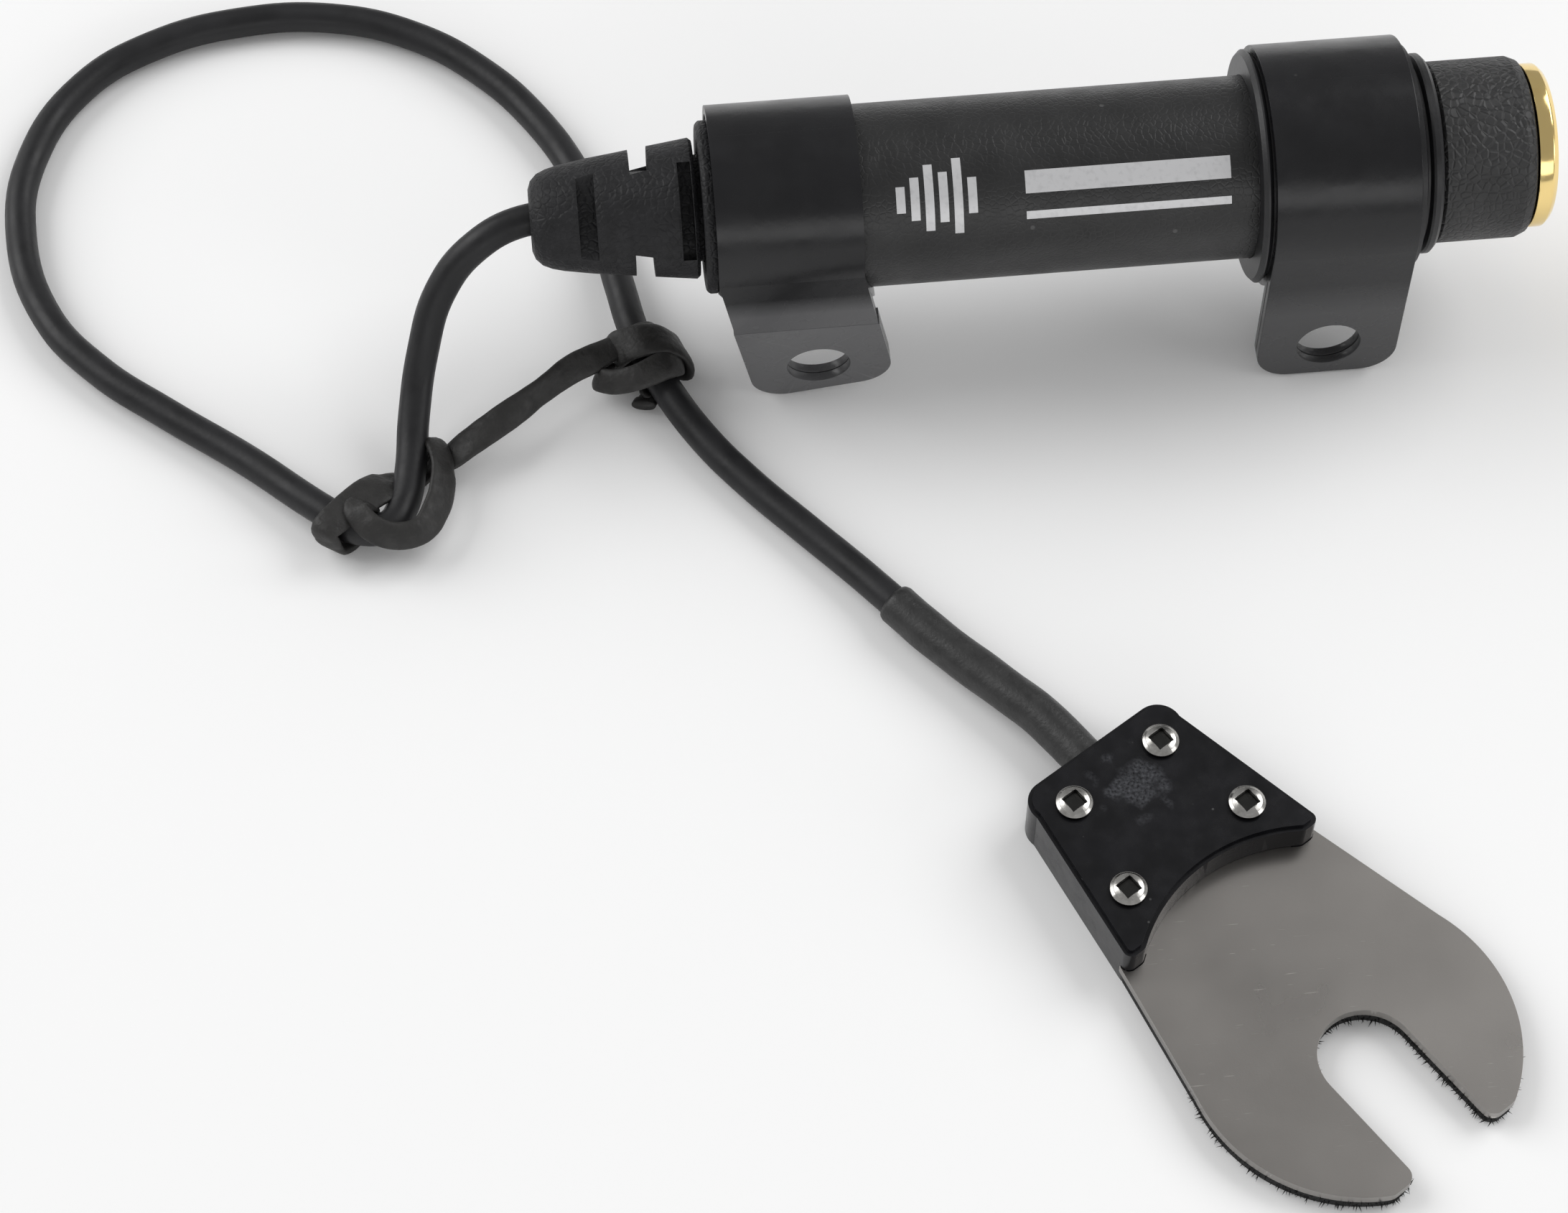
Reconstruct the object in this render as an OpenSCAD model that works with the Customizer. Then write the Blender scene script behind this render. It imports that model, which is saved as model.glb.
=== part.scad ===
// Forked bridge transducer pickup with a thin cable and an in-line output jack.
// Millimetres, +Z up. +X runs along the jack barrel from the cable boot to the socket mouth.
// The jack barrel stands on the tabs of its two strap clips; the sensor lies flat on the same surface.

/* [Jack barrel] */
// outer diameter of the black barrel tube
barrel_d = 15.5; // [14:0.1:17]
// wall of the barrel tube
barrel_wall = 0.95; // [0.6:0.05:1.5]
// whole length of the jack, from the boot's nose to the socket mouth
jack_length = 86.3; // [80:0.1:95]
// height of the barrel's axis over the table
barrel_height = 17; // [12:0.5:25]
// diameter of the end cap
cap_d = 15.4; // [14:0.1:17]
// diameter of the gold mouth bushing's rim
mouth_d = 13.9; // [12:0.1:15]
// diameter of the socket's bore, for a 6.35 mm plug
socket_d = 6.5; // [6.4:0.05:6.8]

/* [Strap clips] */
// width of both strap clips
strap_w = 12.2; // [10:0.2:15]
// thickness of the strap
strap_t = 0.75; // [0.5:0.05:1.2]
// diameter of the screw hole through each tab
tab_hole_d = 5.5; // [4:0.1:6.5]
// height of the hole's centre over the end of its tab
tab_hole_up = 4.15; // [3.5:0.05:7]
// how far the left tab is set towards the mouth at its crease
left_shift = 1.2; // [0:0.1:2]
// sideways lean of the left tab
left_lean = 10; // [0:1:15]
// forward tilt of the left clip's neck above its crease
left_neck_tilt = 6; // [0:0.5:12]
// backward tilt of the left tab below its crease
left_tilt = 6; // [0:0.5:12]
// outer radius of the rubber grommet under the right clip
grommet_r = 9.4; // [8.5:0.1:10]

/* [Sensor] */
// radius of the fork plate's round part
fork_r = 13.4; // [10:0.1:16]
// width of the fork's slot
slot_w = 8; // [6.5:0.1:9]
// thickness of the metal fork plate
plate_t = 0.9; // [0.5:0.05:1.5]
// thickness of the fibre pad below the plate
pad_t = 1.2; // [1:0.1:3]
// height of the housing cover above the plate
cover_h = 2.9; // [2:0.1:4]
// length of the housing from its rear edge to its front corners
housing_len = 16.3; // [12:0.1:20]
// width of the housing at its rear edge
housing_rear_w = 15.3; // [12:0.1:18]
// width of the housing at its front corners
housing_front_w = 20.4; // [16:0.1:24]

/* [Cable] */
// diameter of the cable
cable_d = 2.75; // [2:0.05:4]
// diameter of the shrunk sleeve at the sensor
sleeve_d = 3.6; // [3:0.1:5]
// width of the flat lace tie
lace_w = 2.8; // [2:0.1:4]
// thickness of the flat lace tie
lace_t = 0.8; // [0.5:0.1:1.5]

/* [Hidden] */

gap = 0.05;              // clearance between pieces that fit together
through = 1;             // how far cutting shapes run past a face
fine = 96;               // segments of large circles
medium = 48;             // segments of small circles
barrel_y = 38.96;        // where the barrel's axis lies, so that the whole is centred on the origin
nose_x = -jack_length / 2;
mouth_x = jack_length / 2;
tube_r = barrel_d / 2;
tube_bore_r = tube_r - barrel_wall;
tube_start = nose_x + 15.4;
cap_start = mouth_x - 9.9;
rim_start = mouth_x - 1.7;
socket_r = socket_d / 2;
cable_r = cable_d / 2;

// sensor placement on the table
sensor_at = [-1.25, barrel_y - 48.05, 0];
sensor_turn = -57;
plate_z = pad_t;
cover_z = pad_t + plate_t;
housing_top = cover_z + cover_h;
fork_u = 31.8;             // distance of the fork's centre from the housing's rear edge
slot_u = 33.7;             // centre of the slot's round end
tip_u = 43.6;            // where the fork's tips are cut off
arc_u = 28.5;            // centre of the housing's hollow front
arc_r = 14.6;            // radius of that hollow
neck_w = 15.6;           // width of the plate inside the housing
neck_u = 9.5;            // where the plate's neck starts inside the housing
entry_k = -0.3;          // sideways place of the cable entry
entry_z = 2.5;           // height of the cable entry
housing_wall = 1.3;

// strap clip sizes
left_clip_x = -21.75;
right_clip_x = 24.7;
left_crease_z = -6;        // height of each clip's crease below the barrel's axis
right_crease_z = -4.4;
layer_gap = 0.1;

// colours
black = [0.06, 0.06, 0.065];
soft_black = [0.1, 0.1, 0.1];
nickel = [0.55, 0.53, 0.5];
gold = [0.85, 0.66, 0.3];
copper = [0.72, 0.42, 0.26];
white_plastic = [0.85, 0.84, 0.8];
green_board = [0.1, 0.35, 0.2];
steel = [0.75, 0.75, 0.75];

// ---- helpers ----

// places children in the barrel's own frame: the origin on its axis, X towards the mouth
module on_barrel() {
    translate([0, barrel_y, barrel_height]) children();
}

// turns a shape made along Z so that it runs along X
module along_x(x = 0) {
    translate([x, 0, 0]) rotate([0, 90, 0]) children();
}

// a body of revolution about X, from points that are [x, radius]
module turned(points) {
    on_barrel() along_x() rotate_extrude($fn = fine) polygon([for (p = points) [p[1], p[0]]]);
}

// places children in the sensor's own frame: X from the housing to the fork
module on_sensor() {
    translate(sensor_at) rotate([0, 0, sensor_turn]) children();
}

// ---- jack barrel ----

module barrel_tube() {
    edge = 0.35;
    tube_end = cap_start - gap;
    color(black) turned([
        [tube_start, tube_bore_r],
        [tube_start, tube_r - edge],
        [tube_start + edge, tube_r],
        [tube_end - edge, tube_r],
        [tube_end, tube_r - edge],
        [tube_end, tube_bore_r]
    ]);
}

module end_cap() {
    edge = 1.1;
    cap_r = cap_d / 2;
    spigot_r = tube_bore_r - gap;
    spigot = 3;
    bushing_r = 5;
    cap_end = rim_start - gap;
    color(black) turned([
        [cap_start - spigot, bushing_r + gap],
        [cap_start - spigot, spigot_r],
        [cap_start, spigot_r],
        [cap_start, cap_r - 0.25],
        [cap_start + 0.25, cap_r],
        [cap_end - edge, cap_r],
        [cap_end - 0.3 * edge, cap_r - 0.3 * edge],
        [cap_end, cap_r - edge],
        [cap_end, bushing_r + gap]
    ]);
}

module mouth_bushing() {
    rim_r = mouth_d / 2;
    bushing_r = 5;
    bevel = 0.5;
    lead_in = 0.4;
    color(gold) turned([
        [cap_start - 3, socket_r],
        [cap_start - 3, bushing_r],
        [rim_start, bushing_r],
        [rim_start, rim_r],
        [mouth_x - bevel, rim_r],
        [mouth_x, rim_r - bevel],
        [mouth_x, socket_r + lead_in],
        [mouth_x - lead_in, socket_r]
    ]);
}

carrier_start = 6;
carrier_end = cap_start - 3 - gap;
carrier_r = tube_bore_r - gap;
window_w = 3.6;
window_from = carrier_start + 3;
window_to = carrier_end - 3;

module jack_carrier() {
    plug_r = 3.5;
    color(white_plastic) on_barrel() difference() {
        along_x(carrier_start) cylinder(r = carrier_r, h = carrier_end - carrier_start, $fn = fine);
        along_x(carrier_start + 2) cylinder(r = plug_r, h = carrier_end, $fn = medium);
        for (side = [-1, 1])
            translate([window_from, -window_w / 2, side > 0 ? 1 : -tube_r])
                cube([window_to - window_from, window_w, tube_r - 1]);
    }
}

contact_w = 2.4;
contact_t = 0.4;
contact_len = 12;
contact_root_r = 5.4;
tip_contact_x = window_from + gap;
sleeve_contact_x = window_to - gap;

// a leaf spring along +X from its root: it dips to touch the plug and turns up at its free end
module contact_leaf() {
    bump_r = 2.7;
    leaf = [
        [0, contact_root_r],
        [2, contact_root_r],
        [0.65 * contact_len, bump_r],
        [0.75 * contact_len, bump_r],
        [contact_len, bump_r + 1.6]
    ];
    count = len(leaf);
    outline = [
        for (p = leaf) p,
        for (i = [count - 1 : -1 : 0]) leaf[i] + [0, contact_t]
    ];
    translate([0, contact_w / 2, 0]) rotate([90, 0, 0]) linear_extrude(contact_w) polygon(outline);
}

module tip_contact() {
    color(nickel) on_barrel() translate([tip_contact_x, 0, 0]) contact_leaf();
}

module sleeve_contact() {
    color(nickel) on_barrel() translate([sleeve_contact_x, 0, 0]) rotate([0, 180, 0]) contact_leaf();
}

// a flat solder tag with an eye, standing out of the carrier's rear face
module solder_lug(height) {
    lug_len = 4.5;
    lug_w = 2.6;
    lug_t = 0.4;
    color(nickel) on_barrel() difference() {
        translate([carrier_start - lug_len, -lug_w / 2, height]) cube([lug_len, lug_w, lug_t]);
        translate([carrier_start - lug_len + 1.3, 0, height - through])
            cylinder(d = 1.2, h = lug_t + 2 * through, $fn = medium);
    }
}

lug_up = 3.4;

module tip_lug() {
    solder_lug(lug_up);
}

module sleeve_lug() {
    solder_lug(-lug_up - 0.4);
}

// ---- cable end of the barrel ----

boot_bore_r = cable_r + 0.15;
stub_r = 4.5;

// how far from the nose each pair of relief slots is centred, how wide it is, and how it is turned
relief_slots = [
    [4.8, 1.5, 0],
    [9.4, 1.6, 90],
    [13.1, 1.1, 0]
];

module boot() {
    shell_end = nose_x + 14;
    stub_end = nose_x + 20;
    slot_turn = 40;
    core_r = 3.3;
    slot_half = 4.1;
    color(soft_black) difference() {
        turned([
            [nose_x, boot_bore_r],
            [nose_x, 2.6],
            [nose_x + 0.25, 3.3],
            [nose_x + 0.8, 3.85],
            [nose_x + 1.6, 4.2],
            [nose_x + 2.6, 4.45],
            [nose_x + 5, 4.85],
            [shell_end - 0.3, 5.95],
            [shell_end, 5.7],
            [shell_end, stub_r],
            [stub_end, stub_r],
            [stub_end, boot_bore_r]
        ]);
        on_barrel() for (slot = relief_slots, side = [0, 180])
            rotate([slot_turn + slot[2] + side, 0, 0])
                translate([nose_x + slot[0] - slot[1] / 2, -slot_half, core_r])
                    cube([slot[1], 2 * slot_half, 4]);
    }
}

module boot_nut() {
    rim_r = 7.3;
    rim_end = tube_start - gap;
    rim_begin = rim_end - 0.95;
    thread_end = nose_x + 21.5;
    color(soft_black) turned([
        [rim_begin, stub_r + gap],
        [rim_begin, rim_r - 0.3],
        [rim_begin + 0.3, rim_r],
        [rim_end, rim_r],
        [rim_end, tube_bore_r - gap],
        [thread_end, tube_bore_r - gap],
        [thread_end, stub_r + gap]
    ]);
}

module cord_clamp() {
    start = nose_x + 22;
    clamp_len = 6;
    slit = 1;
    color(white_plastic) on_barrel() difference() {
        along_x(start) cylinder(r = tube_bore_r - 0.2, h = clamp_len, $fn = fine);
        along_x(start - through) cylinder(r = boot_bore_r, h = clamp_len + 2 * through, $fn = medium);
        for (turn = [45, 135])
            rotate([turn, 0, 0])
                translate([start + 2, -tube_r, -slit / 2]) cube([clamp_len, 2 * tube_r, slit]);
    }
}

wire_start = nose_x + 30;

// a straight insulated wire inside the barrel, from the cable's end to a point beside a lug
module inner_wire(from, to, wire_d) {
    run = to - from;
    span = norm(run);
    on_barrel() translate(from)
        rotate([0, acos(run[2] / span), atan2(run[1], run[0])])
            cylinder(d = wire_d, h = span, $fn = 24);
}

module signal_wire() {
    color([0.7, 0.1, 0.08])
        inner_wire([wire_start + 0.3, 0, 0.7], [carrier_start - 3, 0, lug_up - 0.52], 0.9);
}

module shield_wire() {
    color(copper)
        inner_wire([wire_start + 0.3, 0, -0.7], [carrier_start - 3, 0, -lug_up + 0.62], 1.1);
}

// ---- strap clips and grommet ----

grommet_start = 17.6;
grommet_end = cap_start - 0.2;

module grommet() {
    inner = tube_r + gap;
    lip_r = 9.9;
    ring_r = 8.5;
    strap_from = right_clip_x - strap_w / 2 - 0.15;
    strap_to = right_clip_x + strap_w / 2 + 0.15;
    round_off = 0.35;
    color(soft_black) turned([
        [grommet_start, inner],
        [grommet_start, lip_r - round_off],
        [grommet_start + round_off, lip_r],
        [strap_from - round_off, lip_r],
        [strap_from, lip_r - round_off],
        [strap_from, grommet_r],
        [strap_to + 0.4, grommet_r],
        [strap_to + 0.8, ring_r - 0.6],
        [strap_to + 1, ring_r - 0.6],
        [strap_to + 1.2, ring_r - 0.1],
        [strap_to + 1.4, ring_r],
        [grommet_end - 0.3, ring_r],
        [grommet_end, ring_r - 0.3],
        [grommet_end, inner]
    ]);
}

// the plan of a tab, hanging down from its crease and leaning sideways, with rounded lower corners
module tab_plan(drop, corner, lean) {
    overlap = 0.1;
    difference() {
        union() {
            intersection() {
                rotate(lean) union() {
                    translate([-strap_w / 2, -drop + corner]) square([strap_w, drop]);
                    translate([-strap_w / 2 + corner, -drop]) square([strap_w - 2 * corner, corner]);
                    for (side = [-1, 1])
                        translate([side * (strap_w / 2 - corner), -drop + corner]) circle(r = corner, $fn = medium);
                }
                translate([-strap_w, -2 * drop]) square([2 * strap_w, 2 * drop + overlap]);
            }
            // fills the wedge between the crease and the leaning tab
            polygon([
                [-strap_w / 2, overlap],
                [-strap_w / 2, 0],
                [-strap_w / 2 * cos(lean) + 0.05, -strap_w / 2 * sin(lean) - 0.2],
                [0, -0.2],
                [0, overlap]
            ]);
        }
        rotate(lean) translate([0, -drop + tab_hole_up]) circle(d = tab_hole_d, $fn = fine);
    }
}

// one strap clip: a band round the barrel whose two ends lie together as a hanging tab
module strap_clip(x, inner, crease_z, shift, neck_tilt, lean, tilt) {
    outer = inner + strap_t;
    corner = 3;
    // a leaning tab is cut shorter, so that its lower corner stays clear of the table
    lift = 0.15 + (strap_w / 2 - corner) * sin(lean);
    drop = (barrel_height + crease_z) / cos(tilt) / cos(lean) - lift;
    neck_len = crease_z / cos(neck_tilt);
    // the clip's two layers, measured from the band's front face
    layers = [0, strap_t + layer_gap];
    color(black) on_barrel() translate([x, 0, 0]) difference() {
        union() {
            // the band, its lower half drawn sideways towards the tab
            intersection() {
                along_x(-strap_w) cylinder(r = outer, h = 2 * strap_w, $fn = fine);
                translate([0, outer + through, 0]) rotate([90, 0, 0])
                    linear_extrude(2 * outer + 2 * through) polygon([
                        [-strap_w / 2, outer + through],
                        [-strap_w / 2, 0],
                        [shift - strap_w / 2, crease_z],
                        [shift - strap_w / 2, -outer - through],
                        [shift + strap_w / 2, -outer - through],
                        [shift + strap_w / 2, crease_z],
                        [strap_w / 2, 0],
                        [strap_w / 2, outer + through]
                    ]);
            }
            for (depth = layers) {
                translate([0, -outer, 0]) rotate([-neck_tilt, 0, 0])
                    translate([0, depth + strap_t, 0]) rotate([90, 0, 0])
                        linear_extrude(strap_t) polygon([
                            [-strap_w / 2, 0],
                            [shift - strap_w / 2, neck_len],
                            [shift + strap_w / 2, neck_len],
                            [strap_w / 2, 0]
                        ]);
                translate([shift, -outer + neck_len * sin(neck_tilt), crease_z]) rotate([tilt, 0, 0])
                    translate([0, depth + strap_t, 0]) rotate([90, 0, 0])
                        linear_extrude(strap_t) tab_plan(drop, corner, lean);
            }
        }
        along_x(-strap_w - through) cylinder(r = inner, h = 2 * strap_w + 2 * through, $fn = fine);
    }
}

module left_clip() {
    strap_clip(left_clip_x, tube_r + gap, left_crease_z, left_shift, left_neck_tilt, left_lean, left_tilt);
}

module right_clip() {
    strap_clip(right_clip_x, grommet_r + gap, right_crease_z, 0, 0, 0, 0);
}

// ---- sensor ----

// the housing's plan: a trapezoid with rounded rear corners and a hollow, round front
module housing_plan() {
    rear = 2;
    front = 0.7;
    difference() {
        offset(r = front, $fn = medium) offset(delta = -front)
            difference() {
                union() {
                    polygon([
                        [rear, -housing_rear_w / 2 + 0.1],
                        [housing_len + 0.3, -housing_front_w / 2],
                        [housing_len + 0.3, housing_front_w / 2],
                        [rear, housing_rear_w / 2 - 0.1]
                    ]);
                    translate([0, -housing_rear_w / 2 + rear]) square([rear + 1, housing_rear_w - 2 * rear]);
                    for (side = [-1, 1])
                        translate([rear, side * (housing_rear_w / 2 - rear)]) circle(r = rear, $fn = medium);
                }
                translate([arc_u, 0]) circle(r = arc_r, $fn = 192);
            }
    }
}

// the fork's plan in front of the housing, reduced all round by inset
module fork_plan(inset) {
    tip_round = 1;
    offset(r = tip_round, $fn = medium) offset(delta = -tip_round - inset)
        difference() {
            union() {
                translate([fork_u, 0]) circle(r = fork_r, $fn = 192);
                polygon([
                    [housing_len - 1.2, -housing_front_w / 2 + 0.2],
                    [fork_u - 3.6, -fork_r + 0.5],
                    [fork_u - 3.6, fork_r - 0.5],
                    [housing_len - 1.2, housing_front_w / 2 - 0.2]
                ]);
            }
            translate([slot_u, -slot_w / 2]) square([2 * fork_r, slot_w]);
            translate([slot_u, 0]) circle(d = slot_w, $fn = fine);
            translate([tip_u, -fork_r]) square([fork_r, 2 * fork_r]);
        }
}

// the part of the fork's plan that is clear of the housing's hollow front
module fork_front_plan(inset) {
    difference() {
        fork_plan(inset);
        offset(delta = gap) housing_plan();
    }
}

screw_places = [
    [3.4, -4.6],
    [3.4, 4.6],
    [12, -6.3],
    [12, 6.3]
];
screw_d = 1.8;
film_t = 0.3;
channel_z = pad_t - 2 * film_t - gap;
channel_w = 3.2;         // width of the channel for the foil's tail
channel_u = 6.8;         // where that channel starts inside the housing
entry_edge = 1.4;        // how far the cable's bore runs past the housing's wall

module entry_bore() {
    translate([-through, entry_k, entry_z]) rotate([0, 90, 0])
        cylinder(d = 1.06 * sleeve_d + 2 * gap, h = housing_wall + entry_edge + through, $fn = medium);
}

module housing_base() {
    pocket = 0.7;
    color(black) on_sensor() difference() {
        linear_extrude(pad_t) housing_plan();
        for (place = screw_places)
            translate([place[0], place[1], 0.6]) cylinder(d = screw_d, h = pad_t, $fn = 24);
        entry_bore();
        translate([housing_wall + 0.3, entry_k - 2.2, pad_t - pocket]) cube([3.6, 4.4, 2 * pocket]);
        translate([channel_u, -channel_w / 2, channel_z]) cube([housing_len, channel_w, through]);
    }
}

module housing_cover() {
    roof = 1.1;
    edge = 0.35;
    post_r = 1.7;
    color(black) on_sensor() difference() {
        union() {
            translate([0, 0, pad_t]) linear_extrude(plate_t + cover_h - edge) housing_plan();
            translate([0, 0, housing_top - edge]) linear_extrude(edge) offset(delta = -edge) housing_plan();
        }
        // room for the board and wires, round the screw posts
        translate([0, 0, pad_t - through]) linear_extrude(plate_t + cover_h - roof + through) difference() {
            offset(delta = -housing_wall) housing_plan();
            for (place = screw_places)
                translate(place) circle(r = post_r, $fn = medium);
        }
        for (place = screw_places)
            translate([place[0], place[1], 0]) cylinder(d = screw_d + 2 * gap, h = 2 * housing_top, $fn = 24);
        entry_bore();
        // the plate's neck passes through the posts and the front wall
        translate([neck_u - 0.2, -neck_w / 2 - gap, pad_t - through])
            cube([housing_len, neck_w + 2 * gap, plate_t + gap + through]);
    }
}

module cover_screws() {
    head_d = 3;
    head_h = 0.7;
    rim_h = 0.35;
    dome_h = 0.2;
    dome_d = head_d - 0.5;
    crown_d = head_d - 1.3;
    socket_w = 1.5;
    shank = 4.4;
    color(steel) on_sensor() for (place = screw_places)
        translate([place[0], place[1], housing_top]) difference() {
            union() {
                translate([0, 0, 0.02]) cylinder(d = head_d, h = rim_h, $fn = medium);
                translate([0, 0, rim_h]) cylinder(d1 = head_d, d2 = dome_d, h = dome_h, $fn = medium);
                translate([0, 0, rim_h + dome_h - 0.01])
                    cylinder(d1 = dome_d, d2 = crown_d, h = head_h - rim_h - dome_h, $fn = medium);
                translate([0, 0, -shank]) cylinder(d = screw_d - 0.1, h = shank + 0.1, $fn = 24);
            }
            translate([-socket_w / 2, -socket_w / 2, head_h - 0.5]) cube([socket_w, socket_w, 1]);
        }
}

module fork_plate() {
    color(nickel) on_sensor() translate([0, 0, plate_z + 0.02]) linear_extrude(plate_t - 0.02) difference() {
        union() {
            fork_front_plan(0);
            translate([neck_u, -neck_w / 2 + gap]) square([housing_len - 2, neck_w - 2 * gap]);
        }
        for (place = screw_places)
            translate(place) circle(d = screw_d + 0.4, $fn = 24);
    }
}

// the U-shaped plan of the film and foil round the slot
module film_plan(inset) {
    difference() {
        translate([fork_u, 0]) circle(r = fork_r - 2.2 - inset, $fn = fine);
        translate([fork_u, 0]) circle(r = slot_w / 2 + 2.2 + inset, $fn = fine);
        translate([fork_u, -slot_w / 2 - 2.2]) square([fork_r, slot_w + 4.4]);
        translate([tip_u - 2.2, -fork_r]) square([fork_r, 2 * fork_r]);
    }
}

module fibre_pad() {
    color(soft_black) on_sensor() difference() {
        linear_extrude(pad_t) fork_front_plan(0.15);
        translate([0, 0, channel_z]) linear_extrude(through) film_plan(-gap);
        translate([channel_u, -channel_w / 2, channel_z])
            cube([fork_u - channel_u - slot_w / 2 - 3, channel_w, through]);
    }
}

module piezo_film() {
    color(white_plastic) on_sensor() translate([0, 0, pad_t - film_t]) linear_extrude(film_t - 0.02) film_plan(0.2);
}

module foil_electrode() {
    tail_len = 14;
    tail_w = 2.4;
    color(copper) on_sensor() translate([0, 0, pad_t - 2 * film_t]) linear_extrude(film_t - 0.02) union() {
        film_plan(0);
        translate([fork_u - fork_r + 3.5 - tail_len, -tail_w / 2]) square([tail_len, tail_w]);
    }
}

board_z = cover_z + 0.1;

module connection_board() {
    board = [4.6, 6, 0.6];
    color(green_board) on_sensor() translate([7.2, -board[1] / 2, board_z]) cube(board);
}

module cable_saddle() {
    saddle = [1.6, 3.2, 0.9];
    groove_r = 1.3;
    color(steel) on_sensor() translate([3.2, entry_k - saddle[1] / 2, 2.9]) difference() {
        cube(saddle);
        translate([-through, saddle[1] / 2, -saddle[2]]) rotate([0, 90, 0])
            cylinder(r = groove_r, h = saddle[0] + 2 * through, $fn = medium);
    }
}

// a core wire from the sleeve's end to the connection board
module core_wire(k, wire_d) {
    rise = 8;
    run = 4.2;
    color(copper) on_sensor() translate([2.9, entry_k + k, entry_z]) rotate([0, 90 - rise, 0])
        cylinder(d = wire_d, h = run, $fn = 24);
}

module signal_core() {
    core_wire(0.6, 0.5);
}

module shield_core() {
    core_wire(-0.6, 0.6);
}

// ---- cable, sleeve and lace ----

// the cable's route, with the barrel's axis at y = 0 and the table at z = 0
cable_route = [
    [wire_start, 0, barrel_height],
    [nose_x + 14, 0, barrel_height],
    [nose_x + 3, 0, barrel_height],
    [nose_x - 0.6, 0, barrel_height],
    [-47.8, -1.3, 15.8],
    [-51.2, -3.1, 12.2],
    [-53.2, -6.2, 7.8],
    [-54.4, -10.4, 4.4],
    [-55, -14.6, 2.7],
    [-55.8, -18, 2.4],
    [-57.2, -20, 2.4],
    [-59.8, -20, 2.4],
    [-62.7, -17.7, 2.3],
    [-69, -11.6, 1.6],
    [-75.9, -5.9, 1.4],
    [-81.6, -0.9, 1.4],
    [-86, 5.1, 1.4],
    [-88.2, 12, 1.4],
    [-88.5, 18, 1.4],
    [-86.9, 24.7, 1.4],
    [-82.8, 30.8, 1.4],
    [-76.4, 35, 1.4],
    [-68.4, 37, 1.4],
    [-60, 36.7, 1.4],
    [-52.6, 33.9, 1.4],
    [-46.4, 28.9, 1.4],
    [-42.1, 23.3, 1.4],
    [-38.8, 16.6, 1.4],
    [-36.8, 9.5, 1.6],
    [-35.8, 3, 2.2],
    [-34.8, -2.4, 2.4],
    [-32.7, -7.9, 2.3],
    [-29.8, -13, 1.6],
    [-26.3, -17.8, 1.4],
    [-22, -22.9, 1.4],
    [-18, -27.7, 1.6],
    [-15.3, -31.2, 1.85]
];

sleeve_route = [
    [-15.3, -31.2, 1.85],
    [-11.8, -35.5, 1.9],
    [-8, -39.7, 2.1],
    [-4.6, -43.5, 2.4],
    [-2.2, -47, entry_z],
    [-0.6, -49.5, entry_z]
];

// a point of a smooth curve through the middle two of four points
function curve_point(a, b, c, d, t) =
    0.5 * (2 * b + (c - a) * t + (2 * a - 5 * b + 4 * c - d) * t * t + (3 * b - a - 3 * c + d) * t * t * t);

// a smooth curve through every point of a route, in steps pieces per stretch
function curve(route, steps) =
    let (last = len(route) - 1)
    [
        for (i = [0 : last - 1])
            let (a = route[max(i - 1, 0)], b = route[i], c = route[i + 1], d = route[min(i + 2, last)])
                for (s = [0 : steps - 1]) curve_point(a, b, c, d, s / steps),
        route[last]
    ];

function unit(v) = v / norm(v);

// one ring of a swept tube, round a point, square to a direction
function ring(centre, direction, radius, sides) =
    let (side = unit(cross([0, 0, 1], direction)), up = cross(direction, side))
    [for (i = [0 : sides - 1]) let (a = 360 * i / sides + 180 / sides) centre + radius * (cos(a) * side + sin(a) * up)];

// a round tube swept along a route
module swept(route, diameter, steps) {
    sides = 8;
    // the flats are moved out so that the tube keeps the area of a round one
    radius = diameter / 2 / sqrt(sin(360 / sides) / (360 / sides * PI / 180));
    line = curve(route, steps);
    last = len(line) - 1;
    rings = [
        for (i = [0 : last])
            ring(line[i], unit(line[min(i + 1, last)] - line[max(i - 1, 0)]), radius, sides)
    ];
    points = [for (r = rings) each r];
    sides_faces = [
        for (i = [0 : last - 1], j = [0 : sides - 1])
            let (k = (j + 1) % sides)
                [i * sides + j, i * sides + k, (i + 1) * sides + k, (i + 1) * sides + j]
    ];
    first_cap = [for (j = [sides - 1 : -1 : 0]) j];
    last_cap = [for (j = [0 : sides - 1]) last * sides + j];
    translate([0, barrel_y, 0]) polyhedron(points, [first_cap, each sides_faces, last_cap], convexity = 10);
}

module cable() {
    color(soft_black) swept(cable_route, cable_d, 2);
}

module shrink_sleeve() {
    color(soft_black) swept(sleeve_route, sleeve_d, 2);
}

// a wrap of the lace round the cable: a flat ring square to a direction on the table
module lace_wrap(at, heading, wide) {
    inner = cable_r + 0.22;
    translate(at) rotate([0, 90, heading])
        rotate_extrude($fn = medium) translate([inner, -wide / 2]) square([lace_t, wide]);
}

module lace_knot_1() {
    color(soft_black) translate([0, barrel_y, 0]) {
        lace_wrap([-55.4, -16.6, 2.5], 77, lace_w);
        lace_wrap([-61.4, -18.8, 2.4], 142, lace_w);
        translate([-58.7, -16.9, 4.7]) rotate([0, 0, 20]) cube([5.4, 3, 1.6], center = true);
    }
}

module lace_span() {
    from = [-52.8, -14.6];
    run = [15.2, 11];
    color(soft_black) translate([from[0], from[1] + barrel_y, 3.4])
        rotate([0, 0, atan2(run[1], run[0])]) translate([0, -lace_w / 2, 0])
            cube([norm(run), lace_w, lace_t]);
}

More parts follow.
